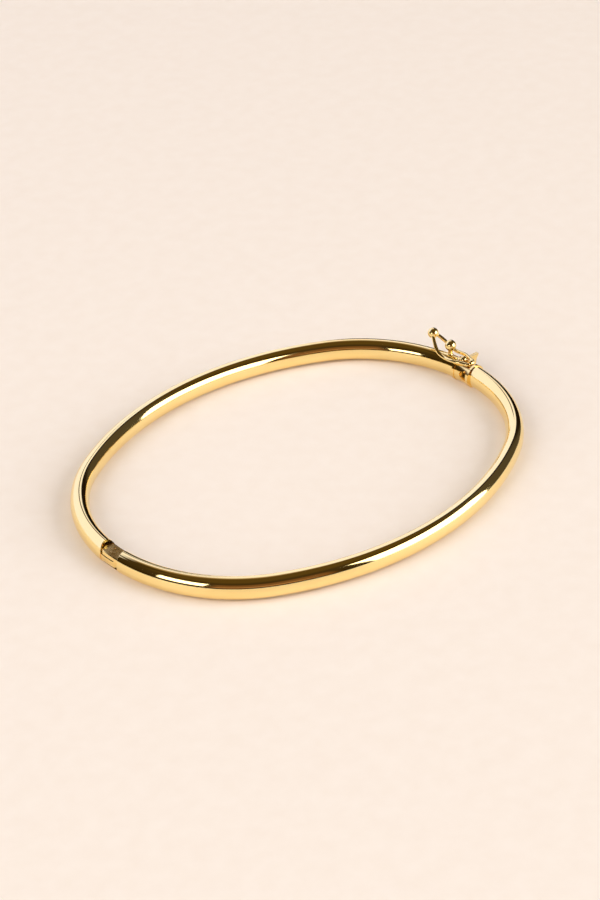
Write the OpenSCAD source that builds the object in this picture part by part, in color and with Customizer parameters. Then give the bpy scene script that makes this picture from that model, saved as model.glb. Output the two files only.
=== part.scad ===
// Hinged oval bangle: two hollow tube halves, a hinge at one end of the long axis and a
// box clasp with a thumb tab and a long wire loop as a safety catch at the other.
// Long axis on X (hinge at -X, clasp at +X), short axis on Y, the bangle lies on Z = 0.

/* [Oval] */
// Half length of the oval, measured to the middle of the tube
half_length = 31.4; // [30:0.1:33]
// Half width of the oval, measured to the middle of the tube
half_width = 22.9; // [22.5:0.1:23.4]
// Radius of the two end arcs of the oval
end_radius = 19.9; // [19:0.1:20.5]

/* [Tube] */
// Thickness of the oval tube, seen from above
tube_w = 2.46; // [2.3:0.02:2.6]
// Height of the oval tube, as it lies
tube_h = 3.1; // [2.9:0.05:3.4]
// Thickness of the tube's wall
tube_wall = 0.3; // [0.2:0.05:0.4]
// Length of the solid plug soldered into a tube end at the hinge
hinge_plug = 1.2; // [1:0.1:1.5]
// Length of the solid plug at the clasp end of the back half
clasp_plug = 2.7; // [2.4:0.1:4]

/* [Hinge] */
// Place of the pin along Y
pin_y = 0.7; // [0.5:0.05:0.9]
// Radius of the round ends of the knuckles
knuckle_r = 1.45; // [1.4:0.05:1.5]
// Radius of the hinge pin
pin_r = 0.45; // [0.35:0.05:0.5]
// Gap around the pin in the knuckle that turns
pin_play = 0.05; // [0.03:0.01:0.08]
// Gap between knuckles that turn past each other
knuckle_gap = 0.14; // [0.06:0.02:0.16]
// Height of the underside of the middle knuckle
middle_knuckle_z = 0.98; // [0.9:0.02:1.02]
// Height of the middle knuckle
middle_knuckle_h = 0.9; // [0.7:0.02:0.92]
// Height of each outer knuckle
outer_knuckle_h = 0.5; // [0.4:0.02:0.52]
// Radius of the hollow cut round the pin in the end of the back tube
scoop_r = 1.75; // [1.7:0.05:1.8]
// Place along Y of the horns of the back tube's hollowed end
back_end_y = 1.85; // [1.8:0.05:2]
// Place along Y of the square end of the front tube
front_end_y = -0.95; // [-1.1:0.05:-0.9]

/* [Clasp box] */
// Width of the box that the front tube ends in
box_w = 2.9; // [2.8:0.02:3]
// Height of the box
box_h = 3.12; // [3.1:0.02:3.2]
// Place of the box's mouth along Y
box_mouth_y = 1.35; // [1.2:0.05:1.5]
// Place of the box's other end along Y
box_back_y = -1.85; // [-2:0.05:-1.7]
// How far the collar at each end of the box stands proud
collar_rise = 0.1; // [0.06:0.01:0.1]
// Length of a collar
collar_len = 0.4; // [0.3:0.05:0.4]
// Height of the flat filed on the box's top between the collars
seat_z = 2.95; // [2.9:0.01:3]
// Width of the square chamber inside the box
chamber_w = 1.7; // [1.6:0.05:1.8]
// Height of the square chamber inside the box
chamber_h = 1.6; // [1.5:0.05:1.7]
// Length of the D-shaped window in the box's inner wall
window_len = 1.1; // [0.9:0.05:1.2]
// Height of the window
window_h = 1.4; // [1.2:0.05:1.5]
// Height of the window's middle above the middle of the box
window_rise = 0.2; // [0:0.05:0.25]
// Gap between the box's mouth and the back tube
seam_gap = 0.08; // [0.05:0.01:0.15]

/* [Tongue] */
// Thickness of the folded spring strip
strip_t = 0.3; // [0.25:0.05:0.35]
// Height of the strip
strip_h = 1.36; // [1.2:0.02:1.4]
// Length of the tongue from the back tube's end
tongue_len = 2.9; // [2.6:0.1:3]
// Thickness of the thumb tab
tab_t = 0.46; // [0.4:0.02:0.5]
// How far the thumb tab stands out of the box
tab_reach = 1.55; // [1.5:0.05:2]
// Height of the thumb tab
tab_h = 2.8; // [2.4:0.1:2.9]
// Place of the thumb tab along Y
tab_y = 0.72; // [0.6:0.02:0.8]
// Height of the thumb tab's neck, where it passes the box's wall
neck_h = 0.8; // [0.6:0.05:0.9]

/* [Safety catch] */
// Radius of the catch's wire
wire_r = 0.26; // [0.22:0.01:0.28]
// Radius of the ball at the catch's raised end
grip_ball_r = 0.78; // [0.7:0.02:0.8]
// Radius of the ball on the post of the back half
post_ball_r = 0.8; // [0.7:0.02:0.85]
// Height of the centre of the post's ball
post_ball_z = 4.52; // [4.4:0.02:4.7]
// Place of the ball post along Y
post_y = 2.95; // [2.9:0.05:3]
// Radius of the ball post's stem
stem_r = 0.32; // [0.25:0.01:0.35]
// Height of the middle of the catch's pivot wire
wire_z = 3.26; // [3.24:0.01:3.3]
// Place of the catch's pivot along Y
pivot_y = -0.85; // [-0.9:0.01:-0.8]
// Outer radius of the pivot eye soldered on the box
eye_r = 0.46; // [0.42:0.01:0.5]
// Length of the pivot eye
eye_len = 0.5; // [0.4:0.05:0.6]
// Radius of the round-headed stud inside the catch
stud_r = 0.54; // [0.5:0.01:0.56]
// Place of that stud along Y
stud_y = 0.5; // [0.45:0.05:0.55]

/* [Hidden] */
$fn = 64;
gold = [0.86, 0.66, 0.3];
// Centre of an end arc, and radius, centre and meeting angle of a side arc
end_cx = half_length - end_radius;
side_radius = (end_cx * end_cx + half_width * half_width - end_radius * end_radius)
            / (2 * (half_width - end_radius));
side_cy = side_radius - half_width;
meet_angle = atan2(side_cy, end_cx);
// Height of the middle of the tube: the collars of the clasp box touch Z = 0
mid_z = box_h / 2 + collar_rise;
pin_x = -end_cx - sqrt(end_radius * end_radius - pin_y * pin_y);
back_tube_y = box_mouth_y + seam_gap;
middle_knuckle_top = middle_knuckle_z + middle_knuckle_h;
upper_knuckle_z = middle_knuckle_top + knuckle_gap;
upper_knuckle_top = upper_knuckle_z + outer_knuckle_h;
lower_knuckle_top = middle_knuckle_z - knuckle_gap;
lower_knuckle_z = lower_knuckle_top - outer_knuckle_h;
// Fixed hole of the pin in the outer knuckles, and running hole in the middle one
pin_seat_r = pin_r + 0.01;
pin_run_r = pin_r + pin_play;
// How far a cutting solid runs past what it cuts
past = 1;
// Gap of the tongue and tab in the box
slide_gap = 0.12;
// Gap between the tongue's root and the back tube's end, which is square to the bend
root_gap = 0.06;
tongue_tip_y = back_tube_y - root_gap - tongue_len;
tab_x0 = half_length + box_w / 2 + 0.07;
tab_notch_r = 1.9;
tab_notch_depth = 0.42;
// Sides of the swept tube, of its bore and of the catch's wire
tube_sides = 20;
bore_sides = 12;
wire_sides = 8;
// Rings along an end arc and a side arc, and points added between two rows of the catch's table
end_steps = 14;
side_steps = 14;
wire_steps = 4;
// Vent hole that lets the air out of the back tube when its ends are soldered in
vent_r = 0.2;
vent_rise = 0.98;
// Size of the necks inside the tubes, against the tube's own section
neck_share = 0.95;
// Roundness of an oval section's ends, against its width
tip_share = 0.42;
// Half of the catch's outline, from the pivot wire to the grip ball: columns are distance from
// the middle (X), place along the bangle (Y) and height above the pivot wire (Z)
CATCH = [[0.42, -0.85, 0], [0.66, -0.62, 0], [0.76, -0.15, 0], [0.94, 0.42, -0.01], [1.13, 0.85, -0.02],
         [1.25, 1.38, -0.05], [1.28, 2.1, -0.12], [1.26, 2.76, -0.16], [1.24, 3.4, -0.1], [1.22, 3.9, 0.04],
         [1.16, 4.3, 0.28], [1, 4.8, 0.71], [0.7, 5.4, 1.21], [0.34, 6, 1.66]];
grip_ball = [0, 6.24, 1.84];

// Angle on an end arc at which the middle of the tube is at height y
function end_angle(y) = asin(y / end_radius);

// Oval of four arcs, w wide and h high, standing at radius r
module section(r, w, h) {
    tip_r = w * tip_share;
    tip_z = h / 2 - tip_r;
    side_r = (tip_z * tip_z + w * w / 4 - tip_r * tip_r) / (w - 2 * tip_r);
    side_x = side_r - w / 2;
    meet_z = tip_z * side_r / (side_r - tip_r);
    translate([r, 0]) union() {
        intersection() {
            translate([-side_x, 0]) circle(r = side_r);
            translate([side_x, 0]) circle(r = side_r);
            translate([-w, -meet_z]) square([2 * w, 2 * meet_z]);
        }
        translate([0, tip_z]) circle(r = tip_r);
        translate([0, -tip_z]) circle(r = tip_r);
    }
}

// Piece of bent bar about the point (cx, 0), from angle a0 to a1, with a w by h section
module bend(cx, a0, a1, w, h) {
    translate([cx, 0, mid_z]) rotate([0, 0, a0]) rotate_extrude(angle = a1 - a0) section(end_radius, w, h);
}

// Piece of the clasp's end arc between two places along Y
module clasp_bend(y0, y1, w, h) {
    bend(end_cx, end_angle(y0), end_angle(y1), w, h);
}

// Piece of the hinge's end arc between two places along Y
module hinge_bend(y0, y1, w, h) {
    bend(-end_cx, 180 - end_angle(y1), 180 - end_angle(y0), w, h);
}

// Row of stations on an arc about (cx, cy): each is [x, y, angle]
function stations(cx, cy, r, a0, a1, first, steps) =
    [for (i = [first:steps]) let (a = a0 + (a1 - a0) * i / steps) [cx + r * cos(a), cy + r * sin(a), a]];
// Stations of half the oval, on the +Y side, from the clasp end at clasp_y to the hinge end at hinge_y
function half_oval(clasp_y, hinge_y) = concat(
    stations(end_cx, 0, end_radius, end_angle(clasp_y), meet_angle, 0, end_steps),
    stations(0, -side_cy, side_radius, meet_angle, 180 - meet_angle, 1, side_steps),
    stations(-end_cx, 0, end_radius, 180 - meet_angle, 180 - end_angle(hinge_y), 1, end_steps));

// Solid skinned over n rings of m points each, listed ring by ring
module skin(rings, m) {
    n = len(rings);
    polyhedron(points = [for (r = rings) each r],
        faces = concat([[for (k = [0:m - 1]) k]], [[for (k = [0:m - 1]) n * m - 1 - k]],
            [for (i = [0:n - 2], k = [0:m - 1])
                [i * m + k, (i + 1) * m + k, (i + 1) * m + (k + 1) % m, i * m + (k + 1) % m]]));
}

// One side of the oval as an oval bar with m sides
module half_tube(clasp_y, hinge_y, w, h, m) {
    skin([for (s = half_oval(clasp_y, hinge_y)) [for (k = [0:m - 1]) let (q = -360 * (k + 0.5) / m)
        [s.x + w / 2 * cos(q) * cos(s.z), s.y + w / 2 * cos(q) * sin(s.z), mid_z + h / 2 * sin(q)]]], m);
}

// Upright disc about the hinge pin, between two heights
module pin_disc(r, z0, z1) {
    translate([pin_x, pin_y, z0]) cylinder(r = r, h = z1 - z0);
}

// Knuckle between two heights: the tube's own oval filed flat, from y0 to y1, with a round end
// about the pin. The neck runs on to +Y where side is 1 and to -Y where it is -1
module knuckle(z0, z1, y0, y1, side) {
    intersection() {
        hinge_bend(y0, y1, neck_share * tube_w, neck_share * tube_h);
        union() {
            pin_disc(knuckle_r, z0, z1);
            translate([pin_x, pin_y + side * half_width / 2, (z0 + z1) / 2])
                cube([half_length, half_width, z1 - z0], center = true);
        }
    }
}

// Half of the bangle behind the hinge, with the middle knuckle and the ball post
module back_half() {
    color(gold) difference() {
        union() {
            difference() {
                half_tube(back_tube_y, back_end_y, tube_w, tube_h, tube_sides);
                pin_disc(scoop_r, -past, tube_h + past);
            }
            knuckle(middle_knuckle_z, middle_knuckle_top, pin_y - knuckle_r, back_end_y + hinge_plug / 2, 1);
            translate([half_length, post_y, mid_z]) cylinder(r = stem_r, h = post_ball_z - mid_z);
            translate([half_length, post_y, post_ball_z]) sphere(r = post_ball_r);
        }
        half_tube(back_tube_y + clasp_plug, back_end_y + hinge_plug,
                  tube_w - 2 * tube_wall, tube_h - 2 * tube_wall, bore_sides);
        translate([-half_length, back_end_y - past, mid_z + vent_rise])
            rotate([-90, 0, 0]) cylinder(r = vent_r, h = hinge_plug + 2 * past);
        pin_disc(pin_run_r, middle_knuckle_z - past, middle_knuckle_top + past);
    }
}

// Thin raised ring round the box, starting at y0
module collar(y0) {
    clasp_bend(y0, y0 + collar_len, box_w + 2 * collar_rise, box_h + 2 * collar_rise);
}

// Outer walls of the clasp box, filed flat on top, with its two collars
module box_body() {
    difference() {
        clasp_bend(box_back_y, box_mouth_y, box_w, box_h);
        translate([half_length - box_w, box_back_y + collar_len, seat_z])
            cube([2 * box_w, box_mouth_y - box_back_y - 2 * collar_len, box_h]);
    }
    collar(box_mouth_y - collar_len);
    collar(box_back_y);
}

// Space inside the box: chamber, slot for the thumb tab's neck, and the window
module box_space() {
    translate([half_length - chamber_w / 2, tongue_tip_y - slide_gap, mid_z - chamber_h / 2])
        cube([chamber_w, box_mouth_y - tongue_tip_y + past, chamber_h]);
    translate([half_length, tab_y - tab_t / 2 - slide_gap, mid_z - neck_h / 2 - slide_gap])
        cube([box_w, box_mouth_y - tab_y + tab_t + past, neck_h + 2 * slide_gap]);
    translate([half_length - box_w, box_back_y / 3, mid_z + window_rise]) rotate([0, 90, 0])
        linear_extrude(height = box_w) intersection() {
            translate([0, -window_len / 2]) scale([window_h / 2, window_len]) circle(r = 1);
            translate([-window_h, -window_len / 2]) square([2 * window_h, 2 * window_len]);
        }
}

// Eye that holds the catch's pivot wire, and the round-headed stud beside it
module catch_mounts() {
    translate([half_length - eye_len / 2, pivot_y, wire_z]) rotate([0, 90, 0]) cylinder(r = eye_r, h = eye_len);
    translate([half_length - eye_len / 2, pivot_y - eye_r, mid_z + chamber_h / 2])
        cube([eye_len, 2 * eye_r, wire_z - mid_z - chamber_h / 2]);
    translate([half_length, stud_y, mid_z + chamber_h / 2])
        cylinder(r = stud_r / 2, h = wire_z - mid_z - chamber_h / 2);
    translate([half_length, stud_y, wire_z]) sphere(r = stud_r);
}

// Half of the bangle in front of the hinge, with the outer knuckles, clasp box and pivot eye
module front_half() {
    color(gold) difference() {
        union() {
            mirror([0, 1, 0]) half_tube(-box_back_y - collar_len, -front_end_y, tube_w, tube_h, tube_sides);
            box_body();
            catch_mounts();
            knuckle(lower_knuckle_z, lower_knuckle_top, front_end_y - hinge_plug / 2, pin_y + knuckle_r, -1);
            knuckle(upper_knuckle_z, upper_knuckle_top, front_end_y - hinge_plug / 2, pin_y + knuckle_r, -1);
        }
        mirror([0, 1, 0]) half_tube(-tongue_tip_y, hinge_plug - front_end_y,
                                    tube_w - 2 * tube_wall, tube_h - 2 * tube_wall, bore_sides);
        box_space();
        pin_disc(pin_seat_r, lower_knuckle_z - past, upper_knuckle_top + past);
        translate([half_length - eye_len, pivot_y, wire_z])
            rotate([0, 90, 0]) cylinder(r = wire_r + pin_play, h = 2 * eye_len);
    }
}

// Hinge pin, riveted flush with the outer knuckles
module hinge_pin() {
    color(gold) pin_disc(pin_r, lower_knuckle_z, upper_knuckle_top);
}

// Spring tongue: a strip folded on itself, and the thumb tab at the end of its outer leaf
module clasp_tongue() {
    leaf_x = chamber_w / 2 - slide_gap - strip_t;
    color(gold) difference() {
        union() {
            translate([half_length - leaf_x - strip_t, tongue_tip_y, mid_z - strip_h / 2])
                cube([strip_t, tongue_len, strip_h]);
            translate([half_length - leaf_x - strip_t, tongue_tip_y, mid_z - strip_h / 2])
                cube([2 * leaf_x + 2 * strip_t, strip_t, strip_h]);
            translate([half_length + leaf_x, tongue_tip_y, mid_z - strip_h / 2])
                cube([strip_t, tab_y + tab_t / 2 - tongue_tip_y, strip_h]);
            translate([half_length + leaf_x, tab_y - tab_t / 2, mid_z - neck_h / 2])
                cube([tab_x0 - half_length - leaf_x + tab_t, tab_t, neck_h]);
            translate([tab_x0, tab_y - tab_t / 2, mid_z - tab_h / 2]) cube([tab_reach, tab_t, tab_h]);
        }
        translate([tab_x0 + tab_reach - tab_notch_depth + tab_notch_r, tab_y - tab_t, mid_z])
            rotate([-90, 0, 0]) cylinder(r = tab_notch_r, h = 2 * tab_t);
    }
}

// Catmull-Rom point between b and c at fraction t
function curve(a, b, c, d, t) =
    0.5 * (2 * b + (c - a) * t + (2 * a - 5 * b + 4 * c - d) * t * t + (3 * b - a - 3 * c + d) * t * t * t);
function row(i) = CATCH[max(0, min(len(CATCH) - 1, i))];
catch_half = concat([for (i = [0:len(CATCH) - 2], s = [0:wire_steps - 1])
                     curve(row(i - 1), row(i), row(i + 1), row(i + 2), s / wire_steps)], [row(len(CATCH) - 1)]);

// Ring of points round the path at point i, square to it
function unit(v) = v / norm(v);
function along(path, i) = unit(path[min(i + 1, len(path) - 1)] - path[max(i - 1, 0)]);
function ring(path, i) = let (t = along(path, i), side = unit(cross([0, 0, 1], t)), up = cross(t, side))
    [for (k = [0:wire_sides - 1]) let (q = 360 * (k + 0.5) / wire_sides)
        path[i] + wire_r / cos(180 / wire_sides) * (cos(q) * side + sin(q) * up)];

// One side of the catch's wire
module catch_side() {
    skin([for (i = [0:len(catch_half) - 1]) ring(catch_half, i)], wire_sides);
}

// Safety catch: one wire in a long loop round the stud and the ball post, soldered into the grip ball
module safety_catch() {
    pivot_half = CATCH[0].x + 0.06;
    color(gold) translate([half_length, 0, wire_z]) union() {
        catch_side();
        mirror([1, 0, 0]) catch_side();
        translate([-pivot_half, pivot_y, 0]) rotate([0, 90, 0]) cylinder(r = wire_r, h = 2 * pivot_half);
        translate(grip_ball) sphere(r = grip_ball_r);
    }
}

back_half();
front_half();
hinge_pin();
clasp_tongue();
safety_catch();
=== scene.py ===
# %% [markdown]
# # A hinged oval bangle in polished gold
# The bangle is made of two bent halves of hollow oval tube. They turn on a pin at one end and
# lock in a small box at the other, where a loop of wire lies over the joint as a safety catch.
# The CAD frame is loaded first, because every piece made here has to sit where its solid does.

# %% Load the frame
import math
import bpy
import bmesh
from mathutils import Matrix, Vector


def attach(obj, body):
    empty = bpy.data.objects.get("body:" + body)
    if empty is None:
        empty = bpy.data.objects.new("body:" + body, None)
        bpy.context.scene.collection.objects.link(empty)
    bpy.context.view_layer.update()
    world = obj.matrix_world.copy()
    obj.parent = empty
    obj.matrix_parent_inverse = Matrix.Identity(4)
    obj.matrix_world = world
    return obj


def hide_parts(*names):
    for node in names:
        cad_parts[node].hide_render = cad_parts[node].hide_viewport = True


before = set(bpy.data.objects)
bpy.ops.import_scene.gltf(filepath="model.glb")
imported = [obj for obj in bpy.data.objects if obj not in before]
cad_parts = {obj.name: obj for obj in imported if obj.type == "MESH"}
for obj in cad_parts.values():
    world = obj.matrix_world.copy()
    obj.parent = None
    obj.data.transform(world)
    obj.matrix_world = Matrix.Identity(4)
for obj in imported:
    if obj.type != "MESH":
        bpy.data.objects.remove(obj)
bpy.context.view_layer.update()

# %% [markdown]
# ## The camera comes first
# A photograph fixes a viewing angle, so the camera is placed before anything is shaped. It looks
# down at the bangle at about 33 degrees, through a long lens, from the hinge's side.

# %% Camera
MM = 0.001
AZIMUTH, ELEVATION = math.radians(-44.34), math.radians(33.28)
AIM = Vector((3.076, 3.472, 0.105)) * MM
DISTANCE = 328.6 * MM
SENSOR_MM, LENS_MM, CLIP_M = 36.0, 150.0, 0.01


def looking_back(place, outward):
    """The matrix that stands something at a place and turns it to look back along outward."""
    return Matrix.Translation(place) @ outward.to_track_quat("Z", "Y").to_matrix().to_4x4()


away = Vector((math.sin(AZIMUTH) * math.cos(ELEVATION), -math.cos(AZIMUTH) * math.cos(ELEVATION),
               math.sin(ELEVATION)))
camera_data = bpy.data.cameras.new("camera")
camera_data.sensor_fit = "HORIZONTAL"
camera_data.sensor_width = SENSOR_MM
camera_data.lens = LENS_MM
camera_data.clip_start = CLIP_M
camera = bpy.data.objects.new("camera", camera_data)
camera.matrix_world = looking_back(AIM + away * DISTANCE, away)
bpy.context.scene.collection.objects.link(camera)
bpy.context.scene.camera = camera
print("camera stands at", [round(v / MM, 1) for v in camera.matrix_world.translation], "mm")

# %% [markdown]
# ## The driving sizes
# All lengths are in millimetres, and the main ones are those of the part's source. The tube is
# drawn 0.04 mm slimmer than the solid, and the balls, the eye and the stud 0.01 mm smaller in
# radius, which keeps the dressed bangle inside the solids' box. The oval's middle line is made of
# arcs: a small one round each end and a large one along each side.

# %% Sizes
END_X, END_R = 11.5, 19.9  # centre and radius of the end arcs
HALF_W = 22.9  # half the width of the oval's middle line
SIDE_R = (END_X ** 2 + HALF_W ** 2 - END_R ** 2) / (2 * (HALF_W - END_R))
SIDE_Y = SIDE_R - HALF_W
MEET = math.atan2(SIDE_Y, END_X)
MID_Z = 1.66  # height of the middle line over the floor
TUBE_W, TUBE_H = 2.42, 3.06
TOP_Z = MID_Z + TUBE_H / 2
BOX_W, BOX_H, COLLAR, COLLAR_LEN = 2.9, 3.12, 0.1, 0.4
MOUTH_Y, BOX_END_Y, SEAM, SEAT_Z = 1.35, -1.85, 0.08, 2.95
PIN_Y = 0.7
PIN_X = -END_X - math.sqrt(END_R ** 2 - PIN_Y ** 2)
CLASP_X = END_X + END_R
PAST, WELL_PAST = 1.0, 3.0  # how far a cutting shape runs past what it cuts


def arc_angle(y):
    """Angle round an end arc's centre at which the tube's middle line is at that Y."""
    return math.asin(y / END_R)


print("side arc radius", round(SIDE_R, 2), "mm, arcs meet at", round(math.degrees(MEET), 1), "degrees")

# %% [markdown]
# ## Helpers for shaping
# Pieces are modelled in millimetres, which keeps the numbers readable, and are scaled to metres
# when they are finished. Each one gets smooth shading with its real edges kept sharp.

# %% Helpers
MERGE = 0.0005
EDGE_ANGLE, WIRE_ANGLE, EDGE_SEGMENTS = 38, 80, 3


def number_in_order(bm):
    """Numbers edges and faces by their corners, because spin leaves them in a chance order."""
    bm.verts.index_update()
    for parts in (bm.edges, bm.faces):
        ranked = sorted(parts, key=lambda part: sorted(v.index for v in part.verts))
        rank = {part: i for i, part in enumerate(ranked)}
        parts.sort(key=rank.get)
        parts.index_update()


def to_object(bm, name):
    """Turns a mesh into an object of the same numbers, doubles merged and faces outwards."""
    bmesh.ops.remove_doubles(bm, verts=bm.verts[:], dist=MERGE)
    number_in_order(bm)
    bmesh.ops.recalc_face_normals(bm, faces=bm.faces[:])
    mesh = bpy.data.meshes.new(name)
    bm.to_mesh(mesh)
    bm.free()
    piece = bpy.data.objects.new(name, mesh)
    bpy.context.scene.collection.objects.link(piece)
    return piece


def shown_mesh(piece):
    """A new mesh of what a piece's modifiers, or a curve's bevel, make of it."""
    return bpy.data.meshes.new_from_object(piece.evaluated_get(bpy.context.evaluated_depsgraph_get()))


def settle(piece):
    """Makes what the modifiers show the piece's own mesh, and drops the modifiers."""
    shaped = shown_mesh(piece)
    piece.modifiers.clear()
    piece.data = shaped
    return piece


def combine(piece, tool, operation):
    """Cuts a tool out of a piece, joins it on or keeps what they share, and uses the tool up."""
    boolean = piece.modifiers.new("combine", "BOOLEAN")
    boolean.object, boolean.operation, boolean.solver = tool, operation, "EXACT"
    settle(piece)
    bpy.data.objects.remove(tool)
    return piece


def finish(piece, body, soft_edge=0.0, smooth_angle=EDGE_ANGLE):
    """Scales a piece to metres, shades it, rounds its edges and hangs it on its body."""
    piece.data.transform(Matrix.Scale(MM, 4))
    piece.data.shade_smooth()
    piece.data.set_sharp_from_angle(angle=math.radians(smooth_angle))
    if soft_edge:
        bevel = piece.modifiers.new("soft edge", "BEVEL")
        bevel.width, bevel.segments = soft_edge * MM, EDGE_SEGMENTS
        bevel.limit_method, bevel.angle_limit = "ANGLE", math.radians(smooth_angle)
        bevel.harden_normals = True
    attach(piece, body)
    print(piece.name, "has", len(piece.data.polygons), "faces")


print("doubles closer than", MERGE, "mm are merged, edges over", EDGE_ANGLE, "degrees stay sharp")

# %% [markdown]
# ## Bending a bar
# A jeweller draws the tube straight and bends it round a former. Here an oval face is laid across
# the path and spun round each arc's centre in turn, which gives a bar with true round bends.

# %% Bent bar
TUBE_SIDES, KNUCKLE_SIDES, BOX_SIDES = 56, 40, 64
END_STEPS, SIDE_STEPS, KNUCKLE_STEPS = 44, 56, 6
FILED = 0.95  # share of the tube's oval that is left in a knuckle


def oval_face(bm, width, height, radius, turn, centre, sides):
    """An oval face that stands across the path, at an angle round an arc's centre."""
    made = bmesh.ops.create_circle(bm, cap_ends=True, segments=sides, radius=1.0)
    verts = made["verts"]
    bmesh.ops.scale(bm, vec=(width / 2, height / 2, 1), verts=verts)
    bmesh.ops.rotate(bm, cent=(0, 0, 0), matrix=Matrix.Rotation(math.pi / 2, 3, "X"), verts=verts)
    bmesh.ops.translate(bm, vec=(radius, 0, 0), verts=verts)
    bmesh.ops.rotate(bm, cent=(0, 0, 0), matrix=Matrix.Rotation(turn, 3, "Z"), verts=verts)
    bmesh.ops.translate(bm, vec=(centre[0], centre[1], MID_Z), verts=verts)
    return bm.faces[:]


def spin_on(bm, faces, centre, angle, steps):
    """Carries a face on round an arc's centre and returns the face at its new end."""
    geom = faces + list({e for f in faces for e in f.edges}) + list({v for f in faces for v in f.verts})
    made = bmesh.ops.spin(bm, geom=geom, cent=(centre[0], centre[1], MID_Z), axis=(0, 0, 1), angle=angle,
                          steps=steps, use_duplicate=False)
    return [g for g in made["geom_last"] if isinstance(g, bmesh.types.BMFace)]


def half_oval_bar(name, clasp_y, hinge_y):
    """Half of the oval, on the +Y side, as one bar of the tube's size."""
    bm = bmesh.new()
    start, end = arc_angle(clasp_y), arc_angle(hinge_y)
    face = oval_face(bm, TUBE_W, TUBE_H, END_R, start, (END_X, 0), TUBE_SIDES)
    face = spin_on(bm, face, (END_X, 0), MEET - start, END_STEPS)
    face = spin_on(bm, face, (0, -SIDE_Y), math.pi - 2 * MEET, SIDE_STEPS)
    spin_on(bm, face, (-END_X, 0), MEET - end, END_STEPS)
    return to_object(bm, name)


def hinge_bar(name, y0, y1):
    """A short bent bar at the hinge's end of the oval, between two places along Y."""
    bm = bmesh.new()
    start, turn = math.pi - arc_angle(y0), arc_angle(y0) - arc_angle(y1)
    face = oval_face(bm, FILED * TUBE_W, FILED * TUBE_H, END_R, start, (-END_X, 0), KNUCKLE_SIDES)
    spin_on(bm, face, (-END_X, 0), turn, KNUCKLE_STEPS)
    return to_object(bm, name)


print("a tube has", TUBE_SIDES, "sides and", 2 * END_STEPS + SIDE_STEPS, "steps along its bends")

# %% [markdown]
# ## The two tubes
# Each half runs from the clasp round its side of the oval to the hinge. The back half stops square
# against the mouth of the clasp box. The front half is the same bar mirrored, running on into the
# box.

# %% Tubes
BACK_END, FRONT_END = 1.85, -0.95
back_tube = half_oval_bar("back_tube", MOUTH_Y + SEAM, BACK_END)
front_tube = half_oval_bar("front_tube", -BOX_END_Y - COLLAR_LEN / 2, -FRONT_END)
bm = bmesh.new()
bm.from_mesh(front_tube.data)
bmesh.ops.scale(bm, vec=(1, -1, 1), verts=bm.verts[:])
bmesh.ops.recalc_face_normals(bm, faces=bm.faces[:])
bm.to_mesh(front_tube.data)
bm.free()
for tube in (back_tube, front_tube):
    places = [v.co for v in tube.data.vertices]
    span = [max(p[i] for p in places) - min(p[i] for p in places) for i in range(3)]
    print(tube.name, "spans", [round(s, 2) for s in span], "mm")

# %% [markdown]
# ## The knuckles of the hinge
# A knuckle is the tube's own oval filed flat above and below, with a round end about the pin. The
# front half has two thin ones and the back half a thick one between them. The end of the back tube
# is hollowed so that the round ends can turn in it.

# %% Knuckles
BORE_SIDES = 96
KNUCKLE_R, PIN_R, SCOOP_R, SCOOP_TOP = 1.45, 0.45, 1.75, 5.0
PLUG, GAP, MIDDLE_H, OUTER_H = 0.6, 0.14, 0.9, 0.5
MIDDLE_BASE = 0.98
UPPER_BASE, LOWER_BASE = MIDDLE_BASE + MIDDLE_H + GAP, MIDDLE_BASE - GAP - OUTER_H
FAST_FIT, RUNNING_FIT = 0.01, 0.05  # room round the pin where it is riveted and where it turns
BLANK_HALF, BLANK_LEN = 4.0, 6.0  # the block that gives a knuckle its two flats


def upright(name, radius, z0, z1):
    """An upright round bar about the hinge pin, between two heights."""
    bm = bmesh.new()
    bmesh.ops.create_cone(bm, cap_ends=True, segments=BORE_SIDES, radius1=radius, radius2=radius,
                          depth=z1 - z0, matrix=Matrix.Translation((PIN_X, PIN_Y, (z0 + z1) / 2)))
    return to_object(bm, name)


def block(name, low, high):
    """A plain block between two corners."""
    bm = bmesh.new()
    size = [abs(high[i] - low[i]) for i in range(3)]
    middle = [(high[i] + low[i]) / 2 for i in range(3)]
    bmesh.ops.create_cube(bm, size=1.0, matrix=Matrix.Translation(middle) @ Matrix.Diagonal((*size, 1)))
    return to_object(bm, name)


def knuckle(name, z0, height, y0, y1, side, hole):
    """A flat bar of the tube's oval from y0 to y1, round about the pin and running on to one side."""
    bar = hinge_bar(name, y0, y1)
    shape = block("shape", (PIN_X - BLANK_HALF, PIN_Y, z0),
                  (PIN_X + BLANK_HALF, PIN_Y + side * BLANK_LEN, z0 + height))
    combine(shape, upright("round_end", KNUCKLE_R, z0, z0 + height), "UNION")
    combine(bar, shape, "INTERSECT")
    return combine(bar, upright("hole", hole, z0 - PAST, z0 + height + PAST), "DIFFERENCE")


plug_y, reach = FRONT_END - PLUG, PIN_Y + KNUCKLE_R
lower_knuckle = knuckle("lower_knuckle", LOWER_BASE, OUTER_H, plug_y, reach, -1, PIN_R + FAST_FIT)
upper_knuckle = knuckle("upper_knuckle", UPPER_BASE, OUTER_H, plug_y, reach, -1, PIN_R + FAST_FIT)
middle_knuckle = knuckle("middle_knuckle", MIDDLE_BASE, MIDDLE_H, PIN_Y - KNUCKLE_R, BACK_END + PLUG,
                         1, PIN_R + RUNNING_FIT)
pin = upright("pin", PIN_R, LOWER_BASE, UPPER_BASE + OUTER_H)
combine(back_tube, upright("scoop", SCOOP_R, -PAST, SCOOP_TOP), "DIFFERENCE")
print("the hinge's flat lies", round(TOP_Z - UPPER_BASE - OUTER_H, 2), "mm below the top of the tube")

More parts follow.
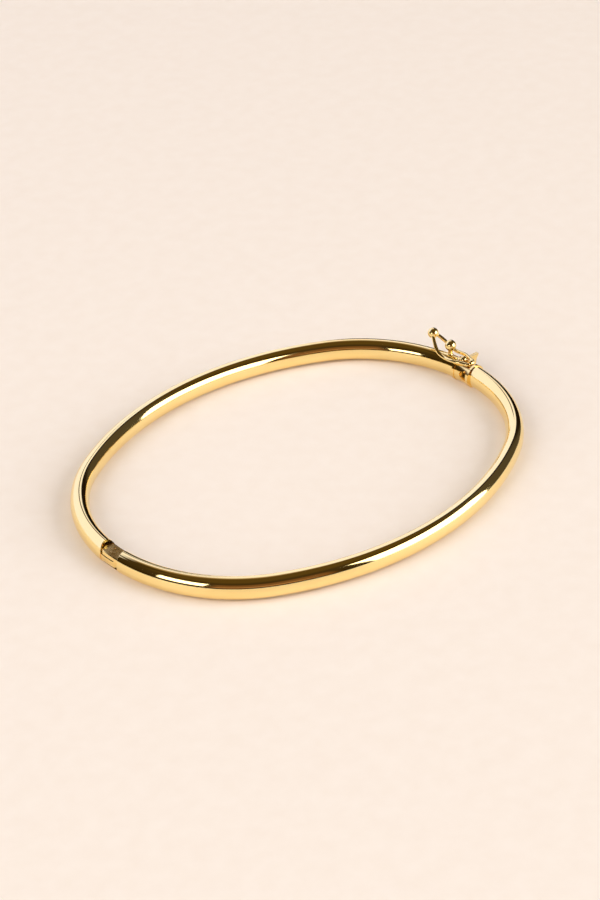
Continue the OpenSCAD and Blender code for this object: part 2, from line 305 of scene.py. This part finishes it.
# %% [markdown]
# ## The clasp box
# The box is a short sleeve, a little fatter than the tube, with a thin raised ring at each end. It
# is spun in three stretches, and the end face steps in or out between them. Its top is filed flat
# between the rings, and the chamber and the D-shaped window in its inner wall are cut out.

# %% Clasp box
RING_STEPS, SLEEVE_STEPS = 2, 8


def stepped(bm, faces, factor_w, factor_h):
    """Extrudes an end face in place and scales it, which makes the flat shoulder of a ring."""
    made = bmesh.ops.extrude_face_region(bm, geom=faces)
    verts = [g for g in made["geom"] if isinstance(g, bmesh.types.BMVert)]
    bmesh.ops.delete(bm, geom=faces, context="FACES_ONLY")
    middle = sum((v.co for v in verts), Vector()) / len(verts)
    bmesh.ops.scale(bm, vec=(factor_w, 1, factor_h), space=Matrix.Translation(-middle), verts=verts)
    return [g for g in made["geom"] if isinstance(g, bmesh.types.BMFace)]


bm = bmesh.new()
ring_w, ring_h = BOX_W + 2 * COLLAR, BOX_H + 2 * COLLAR
marks = [BOX_END_Y, BOX_END_Y + COLLAR_LEN, MOUTH_Y - COLLAR_LEN, MOUTH_Y]
turns = [arc_angle(b) - arc_angle(a) for a, b in zip(marks, marks[1:])]
face = oval_face(bm, ring_w, ring_h, END_R, arc_angle(BOX_END_Y), (END_X, 0), BOX_SIDES)
face = spin_on(bm, face, (END_X, 0), turns[0], RING_STEPS)
face = stepped(bm, face, BOX_W / ring_w, BOX_H / ring_h)
face = spin_on(bm, face, (END_X, 0), turns[1], SLEEVE_STEPS)
face = stepped(bm, face, ring_w / BOX_W, ring_h / BOX_H)
spin_on(bm, face, (END_X, 0), turns[2], RING_STEPS)
clasp_box = to_object(bm, "clasp_box")
print("clasp box has", len(clasp_box.data.polygons), "faces before it is cut")

# %% [markdown]
# ## Cutting the box open
# The seat for the catch, the chamber for the tongue and the slot for the tab's neck are plain
# blocks. The window is half of a round bar, cut along its middle, which leaves a D.

# %% Cuts in the box
CHAMBER_W, CHAMBER_H, CHAMBER_END_Y = 1.7, 1.6, -1.65
WINDOW_LEN, WINDOW_H, WINDOW_RISE = 1.1, 1.4, 0.2
WINDOW_Y = BOX_END_Y / 3 - WINDOW_LEN / 2
TAB_Y, TAB_T, NECK_H = 0.72, 0.46, 0.8
SLIDE = 0.12  # room for the tongue to slide
combine(clasp_box, block("seat", (CLASP_X - WELL_PAST, BOX_END_Y + COLLAR_LEN, SEAT_Z),
                         (CLASP_X + WELL_PAST, MOUTH_Y - COLLAR_LEN, SEAT_Z + 2 * PAST)), "DIFFERENCE")
combine(clasp_box, block("chamber", (CLASP_X - CHAMBER_W / 2, CHAMBER_END_Y, MID_Z - CHAMBER_H / 2),
                         (CLASP_X + CHAMBER_W / 2, MOUTH_Y + PAST, MID_Z + CHAMBER_H / 2)), "DIFFERENCE")
combine(clasp_box, block("slot", (CLASP_X, TAB_Y - TAB_T / 2 - SLIDE, MID_Z - NECK_H / 2 - SLIDE),
                         (CLASP_X + WELL_PAST, MOUTH_Y + PAST, MID_Z + NECK_H / 2 + SLIDE)), "DIFFERENCE")
bm = bmesh.new()
bmesh.ops.create_cone(bm, cap_ends=True, segments=BOX_SIDES, radius1=1, radius2=1, depth=BOX_W)
bmesh.ops.rotate(bm, cent=(0, 0, 0), matrix=Matrix.Rotation(math.pi / 2, 3, "Y"), verts=bm.verts[:])
bmesh.ops.scale(bm, vec=(1, WINDOW_LEN, WINDOW_H / 2), verts=bm.verts[:])
cut = bmesh.ops.bisect_plane(bm, geom=bm.verts[:] + bm.edges[:] + bm.faces[:], plane_co=(0, 0, 0),
                             plane_no=(0, -1, 0), clear_outer=True)
bmesh.ops.contextual_create(bm, geom=[g for g in cut["geom_cut"] if isinstance(g, bmesh.types.BMEdge)])
bmesh.ops.translate(bm, vec=(CLASP_X - BOX_W / 2, WINDOW_Y, MID_Z + WINDOW_RISE), verts=bm.verts[:])
combine(clasp_box, to_object(bm, "window"), "DIFFERENCE")
print("clasp box has", len(clasp_box.data.polygons), "faces")

# %% [markdown]
# ## The tongue and its thumb tab
# The tongue is one strip of springy metal folded on itself. Its outer leaf ends in an upright tab
# with a hollowed edge, which the thumb presses to let the tongue out of the box.

# %% Tongue
STRIP_T, STRIP_H, TONGUE_LEN, ROOT_GAP = 0.3, 1.36, 2.9, 0.06
TIP_Y = MOUTH_Y + SEAM - ROOT_GAP - TONGUE_LEN
LEAF_X = CHAMBER_W / 2 - SLIDE - STRIP_T
TAB_GAP, TAB_REACH, TAB_H = 0.07, 1.55, 2.8
TAB_X0 = CLASP_X + BOX_W / 2 + TAB_GAP
HOLLOW_R, HOLLOW_DEPTH = 1.9, 0.42
z0, z1 = MID_Z - STRIP_H / 2, MID_Z + STRIP_H / 2
tongue = block("tongue", (CLASP_X - LEAF_X - STRIP_T, TIP_Y, z0),
               (CLASP_X - LEAF_X, TIP_Y + TONGUE_LEN, z1))
combine(tongue, block("fold", (CLASP_X - LEAF_X - STRIP_T, TIP_Y, z0),
                      (CLASP_X + LEAF_X + STRIP_T, TIP_Y + STRIP_T, z1)), "UNION")
combine(tongue, block("leaf", (CLASP_X + LEAF_X, TIP_Y, z0),
                      (CLASP_X + LEAF_X + STRIP_T, TAB_Y + TAB_T / 2, z1)), "UNION")
combine(tongue, block("neck", (CLASP_X + LEAF_X, TAB_Y - TAB_T / 2, MID_Z - NECK_H / 2),
                      (TAB_X0 + TAB_T, TAB_Y + TAB_T / 2, MID_Z + NECK_H / 2)), "UNION")
thumb_tab = block("thumb_tab", (TAB_X0, TAB_Y - TAB_T / 2, MID_Z - TAB_H / 2),
                  (TAB_X0 + TAB_REACH, TAB_Y + TAB_T / 2, MID_Z + TAB_H / 2))
bm = bmesh.new()
bmesh.ops.create_cone(bm, cap_ends=True, segments=BORE_SIDES, radius1=HOLLOW_R, radius2=HOLLOW_R,
                      depth=2 * PAST)
bmesh.ops.rotate(bm, cent=(0, 0, 0), matrix=Matrix.Rotation(math.pi / 2, 3, "X"), verts=bm.verts[:])
bmesh.ops.translate(bm, vec=(TAB_X0 + TAB_REACH - HOLLOW_DEPTH + HOLLOW_R, TAB_Y, MID_Z), verts=bm.verts[:])
combine(thumb_tab, to_object(bm, "hollow"), "DIFFERENCE")
combine(tongue, thumb_tab, "UNION")
print("the tongue reaches", round(MOUTH_Y - TIP_Y, 2), "mm into the box")

# %% [markdown]
# ## The ball post, the eye and the stud
# These small parts are turned or cast and then soldered on, so each has a little fillet of solder
# where it meets the tube. A voxel remesh joins ball, stem and fillet into one skin, as solder does.

# %% Small soldered parts
BALL_SIDES, BALL_RINGS, ROD_SIDES = 48, 32, 48
FLOW = 0.5  # how strongly one pass of smoothing pulls


def ball(bm, centre, radius):
    """Adds a ball to a mesh."""
    bmesh.ops.create_uvsphere(bm, u_segments=BALL_SIDES, v_segments=BALL_RINGS, radius=radius,
                              matrix=Matrix.Translation(centre))


def rod(bm, centre, radius1, radius2, depth, turn=Matrix.Identity(4)):
    """Adds a round bar to a mesh, upright unless it is turned. It tapers if the radii differ."""
    bmesh.ops.create_cone(bm, cap_ends=True, segments=ROD_SIDES, radius1=radius1, radius2=radius2,
                          depth=depth, matrix=Matrix.Translation(centre) @ turn)


def soldered(bm, name, voxel, smoothing):
    """Joins overlapping shapes into one skin and lets the creases between them flow."""
    piece = to_object(bm, name)
    remesh = piece.modifiers.new("solder", "REMESH")
    remesh.mode, remesh.voxel_size, remesh.use_smooth_shade = "VOXEL", voxel, True
    flow = piece.modifiers.new("flow", "SMOOTH")
    flow.factor, flow.iterations = FLOW, smoothing
    return settle(piece)


POST_Y, POST_Z, POST_BALL_R, STEM_R, STEM_SUNK = 2.95, 4.52, 0.79, 0.32, 0.3
POST_FOOT, FOOT_SUNK = (0.52, 0.3, 0.3), 0.02  # a foot is its lower radius, upper radius and height
bm = bmesh.new()
ball(bm, (CLASP_X, POST_Y, POST_Z), POST_BALL_R)
rod(bm, (CLASP_X, POST_Y, (TOP_Z + POST_Z) / 2 - STEM_SUNK), STEM_R, STEM_R, POST_Z - TOP_Z)
rod(bm, (CLASP_X, POST_Y, TOP_Z - FOOT_SUNK), *POST_FOOT)
ball_post = soldered(bm, "ball_post", voxel=0.04, smoothing=4)

WIRE_Z, PIVOT_Y = 3.26, -0.85
EYE_R, EYE_LEN, EYE_FOOT = 0.45, 0.5, (0.42, 0.36, 0.3)
EYE_HOLE_R, EYE_HOLE_LEN = 0.31, 1.2
across = Matrix.Rotation(math.pi / 2, 4, "Y")
bm = bmesh.new()
rod(bm, (CLASP_X, PIVOT_Y, WIRE_Z), EYE_R, EYE_R, EYE_LEN, across)
rod(bm, (CLASP_X, PIVOT_Y, SEAT_Z), *EYE_FOOT)
catch_eye = soldered(bm, "catch_eye", voxel=0.03, smoothing=3)
bm = bmesh.new()
rod(bm, (CLASP_X, PIVOT_Y, WIRE_Z), EYE_HOLE_R, EYE_HOLE_R, EYE_HOLE_LEN, across)
combine(catch_eye, to_object(bm, "eye_hole"), "DIFFERENCE")

STUD_Y, STUD_R, STUD_FOOT = 0.5, 0.53, (0.4, 0.3, 0.4)
bm = bmesh.new()
ball(bm, (CLASP_X, STUD_Y, WIRE_Z), STUD_R)
rod(bm, (CLASP_X, STUD_Y, SEAT_Z), *STUD_FOOT)
stud = soldered(bm, "stud", voxel=0.03, smoothing=2)
print("ball of the post is", 2 * POST_BALL_R, "mm across, the stud", 2 * STUD_R, "mm")

# %% [markdown]
# ## The safety catch
# The catch is one wire bent into a long loop. It turns in the eye on the box, hangs like a saddle
# over the joint, opens round the ball of the post and rises to a ball that a fingernail lifts. A
# curve with a round bevel gives the wire, and the remesh solders its ends.

# %% Safety catch
WIRE_R, WIRE_ROUNDNESS, WIRE_STEPS = 0.26, 6, 6
GRIP_R, GRIP_Y, GRIP_RISE, PIVOT_LEN = 0.77, 6.24, 1.84, 1.0
# One side of the loop, from the eye to the grip: out from the clasp's middle, along Y, and up.
CATCH = [(0.42, -0.85, 0), (0.66, -0.62, 0), (0.76, -0.15, 0), (0.94, 0.42, -0.01), (1.13, 0.85, -0.02),
         (1.25, 1.38, -0.05), (1.28, 2.1, -0.12), (1.26, 2.76, -0.16), (1.24, 3.4, -0.1), (1.22, 3.9, 0.04),
         (1.16, 4.3, 0.28), (1.0, 4.8, 0.71), (0.7, 5.4, 1.21), (0.34, 6.0, 1.66)]


def smooth_path(points, steps):
    """Catmull-Rom points through a short table of points."""
    rows = [Vector(p) for p in points]
    path = []
    for i in range(len(rows) - 1):
        a, b, c, d = (rows[max(0, min(len(rows) - 1, j))] for j in (i - 1, i, i + 1, i + 2))
        for s in range(steps):
            t = s / steps
            path.append(0.5 * (2 * b + (c - a) * t + (2 * a - 5 * b + 4 * c - d) * t * t
                               + (3 * b - a - 3 * c + d) * t ** 3))
    return path + [rows[-1]]


half = smooth_path(CATCH, WIRE_STEPS)
other = [Vector((-p.x, p.y, p.z)) for p in half]
path = other[::-1] + half
curve = bpy.data.curves.new("wire", "CURVE")
curve.dimensions, curve.use_fill_caps = "3D", True
curve.bevel_depth, curve.bevel_resolution = WIRE_R, WIRE_ROUNDNESS
spline = curve.splines.new("POLY")
spline.points.add(len(path) - 1)
for point, place in zip(spline.points, path):
    point.co = (CLASP_X + place.x, place.y, WIRE_Z + place.z, 1)
wire_object = bpy.data.objects.new("wire", curve)
bpy.context.scene.collection.objects.link(wire_object)
wire_mesh = shown_mesh(wire_object)
bpy.data.objects.remove(wire_object)
bm = bmesh.new()
bm.from_mesh(wire_mesh)
ball(bm, (CLASP_X, GRIP_Y, WIRE_Z + GRIP_RISE), GRIP_R)
rod(bm, (CLASP_X, PIVOT_Y, WIRE_Z), WIRE_R, WIRE_R, PIVOT_LEN, across)
safety_catch = soldered(bm, "catch_wire", voxel=0.035, smoothing=3)
length = sum((b - a).length for a, b in zip(path, path[1:]))
print("the catch is bent from", round(length, 1), "mm of wire")

# %% [markdown]
# ## Hanging the pieces on their bodies
# Each piece rides on the body that carries it, so the poses move them together. The pieces stand
# for the CAD solids, which are hidden.

# %% Finish and ride
SOFT_EDGE, PIN_EDGE = 0.035, 0.03
for piece in (catch_eye, stud):
    finish(piece, "front")
for piece in (front_tube, clasp_box, upper_knuckle, lower_knuckle):
    finish(piece, "front", soft_edge=SOFT_EDGE)
finish(pin, "front", soft_edge=PIN_EDGE)
finish(ball_post, "back")
for piece in (back_tube, middle_knuckle, tongue):
    finish(piece, "back", soft_edge=SOFT_EDGE)
finish(safety_catch, "catch", smooth_angle=WIRE_ANGLE)
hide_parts("front_half")
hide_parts("hinge_pin")
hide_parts("back_half")
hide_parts("clasp_tongue")
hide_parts("safety_catch")

# %% [markdown]
# ## One function for colour and one for nodes
# Colours are written as sRGB hex, as a picture editor shows them. Cycles works in linear light, so
# one function turns them. Another adds a node with its settings and links.

# %% Colour and node helpers
def linear(hex_colour):
    """sRGB hex to a linear RGBA colour."""
    channels = [int(hex_colour[i:i + 2], 16) / 255 for i in (1, 3, 5)]
    return (*[c / 12.92 if c <= 0.04045 else ((c + 0.055) / 1.055) ** 2.4 for c in channels], 1.0)


def add(tree, kind, settings=None, **inputs):
    """Adds a node. A value that is a socket is linked, any other is set."""
    node = tree.nodes.new(kind)
    for name, value in (settings or {}).items():
        setattr(node, name, value)
    for name, value in inputs.items():
        key = int(name[1:]) if name[0] == "_" else name.replace("_", " ")
        if isinstance(value, bpy.types.NodeSocket):
            tree.links.new(value, node.inputs[key])
        else:
            node.inputs[key].default_value = value
    return node


def ramp(tree, factor, stops):
    """The colour from a ramp of (position, hex colour) stops."""
    node = add(tree, "ShaderNodeValToRGB", Fac=factor)
    elements = node.color_ramp.elements
    while len(elements) < len(stops):
        elements.new(0.5)
    for element, (place, colour) in zip(elements, stops):
        element.position, element.color = place, linear(colour)
    return node.outputs["Color"]


def new_material(name):
    """An empty material with a Principled shader on its output."""
    material = bpy.data.materials.new(name)
    material.use_nodes = True
    tree = material.node_tree
    tree.nodes.clear()
    shader = add(tree, "ShaderNodeBsdfPrincipled")
    add(tree, "ShaderNodeOutputMaterial", Surface=shader.outputs[0])
    return material, tree, shader


print("middle grey in linear light is", round(linear("#808080")[0], 3))

# %% [markdown]
# ## Polished yellow gold
# The tubes are drawn, bent and then mopped to a mirror. What the eye sees is almost only what the
# metal reflects, tinted yellow. The mop leaves a faint haze and hairlines about 0.05 mm apart,
# which the pattern here draws 0.1 to 0.15 mm apart so that they show.

# %% Polished gold
PER_M = 1000.0
TINT_SCALE, HAZE_SCALE = 120.0, 700.0  # per metre: patches of about 8 mm and of about 1.4 mm
LOW, HIGH = 0.3, 0.7  # a noise pattern hardly leaves this range
HAIR_DEPTH = 0.00001


def gold(name, colour, deep, roughness, spread, hair, lines):
    """Gold with a faint change of tint, a mopped haze and hairlines of so many per mm."""
    material, tree, shader = new_material(name)
    place = add(tree, "ShaderNodeTexCoord").outputs["Object"]
    tint = add(tree, "ShaderNodeTexNoise", Vector=place, Scale=TINT_SCALE, Detail=2.0)
    colours = ramp(tree, tint.outputs["Fac"], [(LOW, deep), (HIGH, colour)])
    haze = add(tree, "ShaderNodeTexNoise", Vector=place, Scale=HAZE_SCALE, Detail=4.0)
    rough = add(tree, "ShaderNodeMapRange", Value=haze.outputs["Fac"], From_Min=LOW, From_Max=HIGH,
                To_Min=roughness, To_Max=roughness + spread)
    hairs = add(tree, "ShaderNodeTexNoise", Vector=place, Scale=lines * PER_M, Detail=1.0)
    bump = add(tree, "ShaderNodeBump", Height=hairs.outputs["Fac"], Strength=hair, Distance=HAIR_DEPTH)
    tree.links.new(colours, shader.inputs["Base Color"])
    tree.links.new(rough.outputs["Result"], shader.inputs["Roughness"])
    tree.links.new(bump.outputs["Normal"], shader.inputs["Normal"])
    shader.inputs["Metallic"].default_value = 1.0
    return material


# The tubes are the brightest mirror, with hardly any haze.
polished = gold("gold_drawn_and_mopped", "#FFE7A4", "#FEE29A", 0.05, 0.04, 0.04, 6.7)
# Box, knuckles, pin and eye are filed before they are polished, so they are a little softer.
filed = gold("gold_filed_and_polished", "#FFE39C", "#FBD98C", 0.08, 0.06, 0.1, 10.0)
# Balls, stud and wire are nearly as bright as the tubes.
cast = gold("gold_cast_ball", "#FFE7A4", "#FEE29A", 0.06, 0.05, 0.05, 8.0)
# The tongue is rolled hard and not mopped, so what it reflects is blurred.
sprung = gold("gold_rolled_spring", "#FFE3A0", "#FBD98C", 0.22, 0.1, 0.12, 10.0)
WORN = {"front_tube": polished, "back_tube": polished, "clasp_box": filed, "upper_knuckle": filed,
        "lower_knuckle": filed, "middle_knuckle": filed, "pin": filed, "catch_eye": filed, "stud": cast,
        "ball_post": cast, "catch_wire": cast, "tongue": sprung}
for name, material in WORN.items():
    piece = bpy.data.objects[name]
    piece.data.materials.clear()
    piece.data.materials.append(material)
print("materials:", sorted({m.name for m in WORN.values()}))

# %% [markdown]
# ## The floor
# The floor is warm pale paper. It is nearly matt, with a faint sheen and flecks about 2.5 mm
# across that are hardly lighter than the rest.

# %% Floor
FLOOR_HALF, FLECK_SCALE = 1500, 400.0
PAPER_ROUGHNESS, PAPER_SHEEN = 0.55, 0.12
bm = bmesh.new()
bmesh.ops.create_grid(bm, x_segments=1, y_segments=1, size=FLOOR_HALF)
floor = to_object(bm, "floor")
floor.data.transform(Matrix.Scale(MM, 4))
paper, tree, shader = new_material("floor_warm_paper")
place = add(tree, "ShaderNodeTexCoord").outputs["Object"]
fleck = add(tree, "ShaderNodeTexNoise", Vector=place, Scale=FLECK_SCALE, Detail=3.0)
colours = ramp(tree, fleck.outputs["Fac"], [(LOW, "#F9EDE1"), (HIGH, "#FBF0E5")])
tree.links.new(colours, shader.inputs["Base Color"])
shader.inputs["Roughness"].default_value = PAPER_ROUGHNESS
shader.inputs["Specular IOR Level"].default_value = PAPER_SHEEN
floor.data.materials.append(paper)
print("floor is", 2 * FLOOR_HALF, "mm wide")

# %% [markdown]
# ## The room
# Polished metal shows the room. The photograph's reflections say what is there: a pale sweep
# behind and to the left, pale below, and a dark room elsewhere. The room is a world of soft-edged
# panels. Each is placed by how far it is turned to the right of straight into the picture, and how
# far it is lifted above the horizon. The turns are measured about SEAM_AT, so they jump from one end
# of their range to the other at -100 degrees. The one panel that crosses that bearing is cut off
# there, which hardly shows because it is about as dark as the room around it.

# %% Bearings in the room
world = bpy.data.worlds.new("room")
bpy.context.scene.world = world
world.use_nodes = True
tree = world.node_tree
tree.nodes.clear()
RIGHT = Vector((math.cos(AZIMUTH), math.sin(AZIMUTH), 0))
BACK = Vector((-math.sin(AZIMUTH), math.cos(AZIMUTH), 0))
SEAM_AT, QUARTER = 80.0, 90


def facing(turn, lift=0.0):
    """The direction so many degrees to the right of straight into the picture, and so many up."""
    turn, lift = math.radians(turn), math.radians(lift)
    return (RIGHT * math.sin(turn) + BACK * math.cos(turn)) * math.cos(lift) + Vector((0, 0, math.sin(lift)))


direction = add(tree, "ShaderNodeTexCoord").outputs["Generated"]
ahead = add(tree, "ShaderNodeVectorMath", {"operation": "DOT_PRODUCT"}, _0=direction,
            _1=facing(SEAM_AT))
aside = add(tree, "ShaderNodeVectorMath", {"operation": "DOT_PRODUCT"}, _0=direction,
            _1=facing(SEAM_AT + QUARTER))
bearing = add(tree, "ShaderNodeMath", {"operation": "ARCTAN2"}, _0=aside.outputs["Value"],
              _1=ahead.outputs["Value"])
turned = add(tree, "ShaderNodeMath", {"operation": "MULTIPLY_ADD"}, _0=bearing.outputs[0],
             _1=math.degrees(1), _2=SEAM_AT).outputs[0]
height = add(tree, "ShaderNodeSeparateXYZ", Vector=direction).outputs["Z"]
rise = add(tree, "ShaderNodeMath", {"operation": "ARCSINE"}, _0=height)
lifted = add(tree, "ShaderNodeMath", {"operation": "MULTIPLY"}, _0=rise.outputs[0],
             _1=math.degrees(1)).outputs[0]
print("turns run from", SEAM_AT - 2 * QUARTER, "to", SEAM_AT + 2 * QUARTER, "degrees")

# %% [markdown]
# ## Hanging the panels
# A panel is a product of two soft steps, one in turn and one in lift, and is mixed over what hangs
# behind it, so the order of the table counts. The world is hidden from diffuse light: it is there
# for the metal to reflect, and the lamps light the paper.

# %% Panels
def within(angle, low, high, soft_low, soft_high):
    """1 between two angles, fading to 0 outside them."""
    up = add(tree, "ShaderNodeMapRange", {"interpolation_type": "SMOOTHSTEP"}, Value=angle,
             From_Min=low - soft_low, From_Max=low)
    down = add(tree, "ShaderNodeMapRange", {"interpolation_type": "SMOOTHSTEP"}, Value=angle,
               From_Min=high, From_Max=high + soft_high, To_Min=1.0, To_Max=0.0)
    both = add(tree, "ShaderNodeMath", {"operation": "MULTIPLY"}, _0=up.outputs[0], _1=down.outputs[0])
    return both.outputs[0]


def hang(total, turns, lifts, colour, strength, soft):
    """Hangs a soft-edged panel in the room between two turns and two lifts."""
    sideways = within(turned, *turns, *soft[:2])
    upward = within(lifted, *lifts, *soft[2:])
    mask = add(tree, "ShaderNodeMath", {"operation": "MULTIPLY"}, _0=sideways, _1=upward)
    panel = add(tree, "ShaderNodeMix", {"data_type": "RGBA"})
    tree.links.new(mask.outputs[0], panel.inputs[0])
    tree.links.new(total, panel.inputs[6])
    panel.inputs[7].default_value = [strength * c for c in linear(colour)[:3]] + [1.0]
    return panel.outputs[2]


# Turns and lifts in degrees, colour, strength, and how far each edge fades: left, right, down, up.
PANELS = [((-34, 14), (48, 60), "#B8A080", 0.9, (26, 10, 3, 18)),
          ((-86, 14), (-20, 51), "#DBDDFA", 1.5, (6, 3, 5, 8)),
          ((-120, -74), (46, 66), "#42341A", 1.0, (6, 10, 6, 4)),
          ((16, 80), (-5, 42), "#50483C", 1.0, (3, 4, 5, 10)),
          ((15, 32), (-5, 24), "#1E140C", 1.0, (2, 12, 5, 12)),
          ((1, 18), (-4, 24), "#1A1208", 1.0, (3, 4, 2, 6)),
          ((17, 24), (30, 46), "#1A1208", 1.0, (2, 8, 4, 8)),
          ((-12, -4), (33, 39), "#5C4828", 1.0, (2, 2, 1.5, 3)),
          ((138, 190), (7, 26), "#7C5838", 1.0, (6, 8, 4, 12)),
          ((150, 186), (11, 13), "#B48C70", 1.0, (14, 20, 3, 3)),
          ((118, 226), (-3, 4), "#1C100A", 1.0, (6, 8, 2, 3))]
level = add(tree, "ShaderNodeMapRange", Value=lifted, From_Min=-90.0, From_Max=90.0)
room = ramp(tree, level.outputs[0],
            [(0.49, "#F9EADC"), (0.5, "#33270F"), (0.74, "#42341A"), (0.84, "#584622")])
for panel in PANELS:
    room = hang(room, *panel)
background = add(tree, "ShaderNodeBackground", Color=room, Strength=1.0)
add(tree, "ShaderNodeOutputWorld", Surface=background.outputs[0])
world.cycles_visibility.diffuse = False
print("the room has", len(PANELS), "panels")

# %% [markdown]
# ## The lights
# A broad key light from the right throws the shadows to the left. A warmer fill from the left,
# nearly as strong, and a faint light overhead soften them. All three are kept out of the metal,
# which has its own two soft boxes to reflect, a large one on the right and a small one on the left.

# %% Lights
def soft_box(name, turn, lift, distance, width, height, radiance, colour, in_metal):
    """A soft light in that direction, turned to the bangle. Distances and sizes are in mm."""
    data = bpy.data.lights.new(name, "AREA")
    data.shape, data.size, data.size_y = "RECTANGLE", width * MM, height * MM
    data.energy, data.color = radiance * math.pi * width * height * MM * MM, linear(colour)[:3]
    lamp = bpy.data.objects.new(name, data)
    towards = facing(turn, lift)
    lamp.matrix_world = looking_back(towards * distance * MM, towards)
    lamp.visible_camera = False
    lamp.visible_glossy, lamp.visible_diffuse = in_metal, not in_metal
    bpy.context.scene.collection.objects.link(lamp)


soft_box("key", 100, 29, 1600, 1500, 1400, 3.85, "#FCFBFF", False)
soft_box("fill", -125, 32, 1900, 1700, 1700, 3.65, "#FFF8F0", False)
soft_box("overhead", 0, 85, 1500, 1600, 1600, 0.97, "#FFF8F0", False)
soft_box("box_right", 102, 20, 180, 166, 116, 3.2, "#FFFFFF", True)
soft_box("box_left", -146, 21, 150, 70, 48, 3.0, "#FFFFFF", True)
bpy.context.scene.view_settings.view_transform = "Standard"
